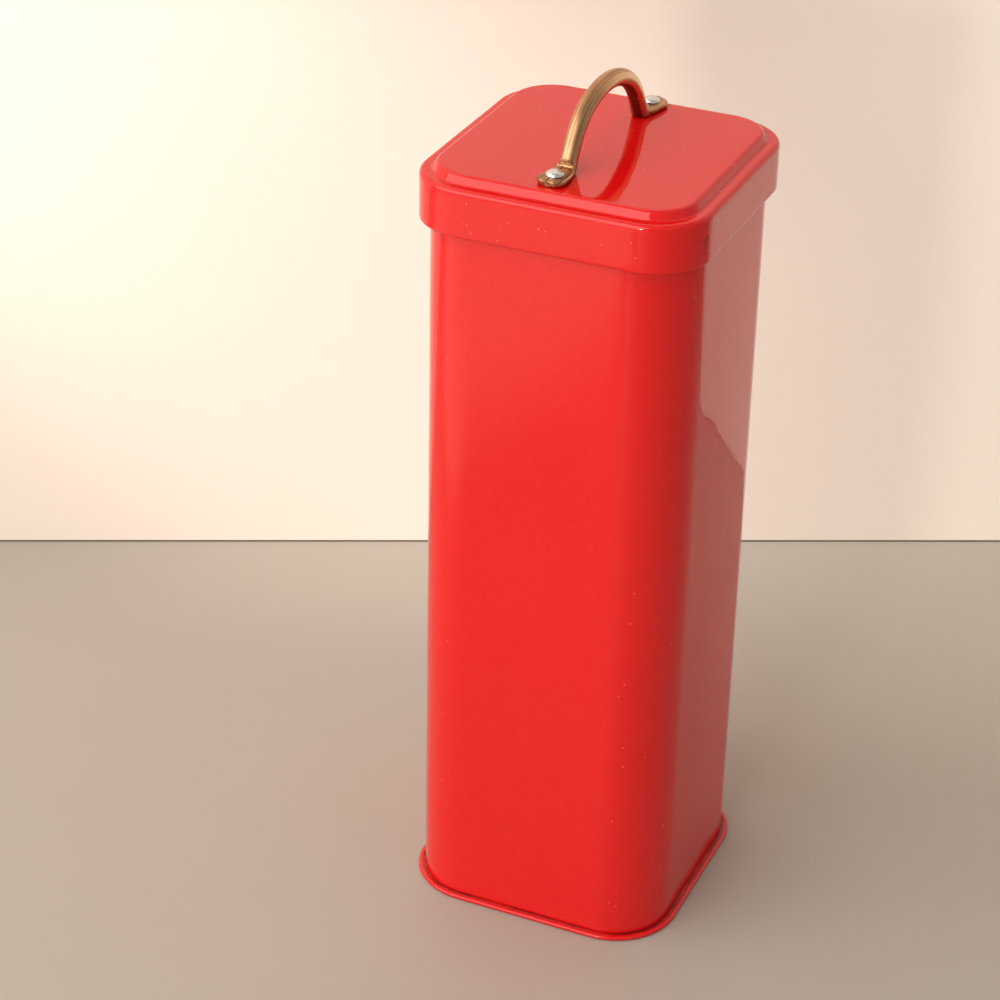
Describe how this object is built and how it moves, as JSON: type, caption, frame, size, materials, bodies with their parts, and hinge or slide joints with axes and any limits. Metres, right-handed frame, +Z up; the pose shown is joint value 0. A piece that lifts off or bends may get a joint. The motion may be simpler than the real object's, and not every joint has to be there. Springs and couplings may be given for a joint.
{
  "type": "food canister",
  "caption": "Tall square enamelled steel food canister with rounded corners, a folded base seam, and a slip-over lid with a raised top and a riveted brass bow handle.",
  "frame": {"origin": "middle of the base on the surface it stands on", "axes": "+Z up, -Y towards the front wall, X along the bow handle"},
  "size_m": [0.1058, 0.1058, 0.323],
  "materials": {
    "body_enamel": "high gloss red enamel over sheet steel, faint orange peel and small pips",
    "base_enamel": "high gloss red enamel over sheet steel",
    "lid_enamel": "high gloss red enamel, faint drawn streaks down the skirt",
    "aged_brass": "antiqued cast brass, rubbed bright on the bow and dark in the hollows",
    "rivet_alloy": "bright, hand-set, slightly uneven",
    "washer_steel": "plain zinc-coated steel"
  },
  "bodies": {
    "canister": {"body_shell": "body_enamel", "base_panel": "base_enamel"},
    "lid": {"lid_shell": "lid_enamel", "handle": "aged_brass", "rivet_left": "rivet_alloy", "rivet_right": "rivet_alloy", "washer_left": "washer_steel", "washer_right": "washer_steel"}
  },
  "joints": [
    {"name": "lid_lift", "type": "slide", "parent": "canister", "child": "lid", "axis": [0, 0, 1], "range_m": [0, 0.15]}
  ]
}
